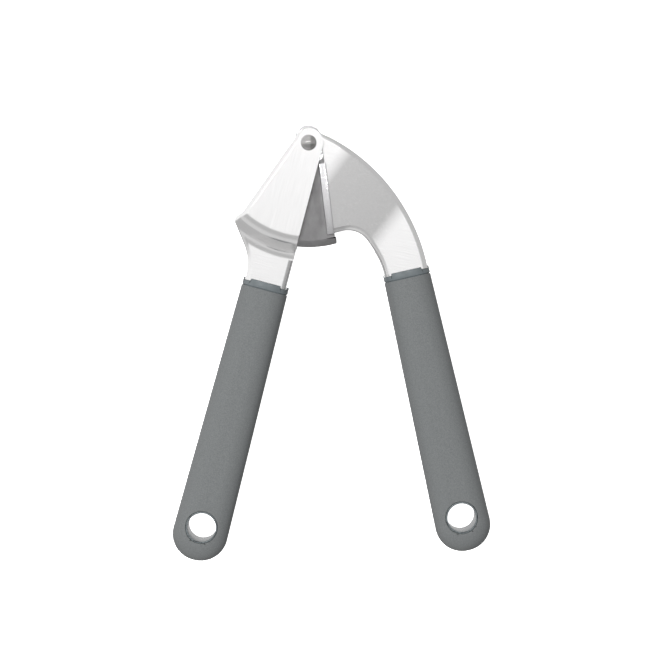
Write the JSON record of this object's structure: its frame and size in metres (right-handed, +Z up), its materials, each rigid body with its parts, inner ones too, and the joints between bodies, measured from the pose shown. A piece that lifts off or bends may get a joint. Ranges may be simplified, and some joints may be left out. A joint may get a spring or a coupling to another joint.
{
  "type": "garlic press",
  "caption": "Hand garlic press with stamped steel handles, a swing-out cast sieve basket, a plunger on the upper arm, and soft-touch grips with hang holes.",
  "frame": {"origin": "middle of the underside of the press's box, as it lies on its side with the handles open", "axes": "+Y from the grips to the pivot, +Z up along the pivot pin's axis, +X towards the upper handle"},
  "size_m": [0.1356, 0.1848, 0.0378],
  "materials": {
    "brushed_stainless": "fine straight brushing",
    "polished_stainless": "polished",
    "cast_metal": "satin as-cast grey",
    "sieve_steel": "satin",
    "core_plastic": "semi-gloss moulded",
    "soft_grip": "fine matt texture",
    "washer_plastic": "natural"
  },
  "bodies": {
    "frame": {"frame_shell": "brushed_stainless", "pivot_pin": "polished_stainless", "pin_cap": "polished_stainless", "lower_grip_core": "core_plastic", "lower_grip_skin": "soft_grip", "lower_tang_pin": "sieve_steel"},
    "basket": {"basket": "cast_metal", "sieve_plate": "sieve_steel"},
    "arm": {"arm_shell": "brushed_stainless", "plunger": "cast_metal", "plunger_pins": "sieve_steel", "spacer_sleeve": "sieve_steel", "near_washer": "washer_plastic", "far_washer": "washer_plastic", "upper_grip_core": "core_plastic", "upper_grip_skin": "soft_grip", "upper_tang_pin": "sieve_steel"}
  },
  "joints": [
    {"name": "basket_hinge", "type": "hinge", "parent": "frame", "child": "basket", "pos_m": [-0.00956, 0.08487, 0.0189], "axis": [0, 0, 1], "range_deg": [-21.8, 45]},
    {"name": "arm_hinge", "type": "hinge", "parent": "basket", "child": "arm", "pos_m": [-0.00956, 0.08487, 0.0189], "axis": [0, 0, 1], "range_deg": [-6, 60]}
  ]
}
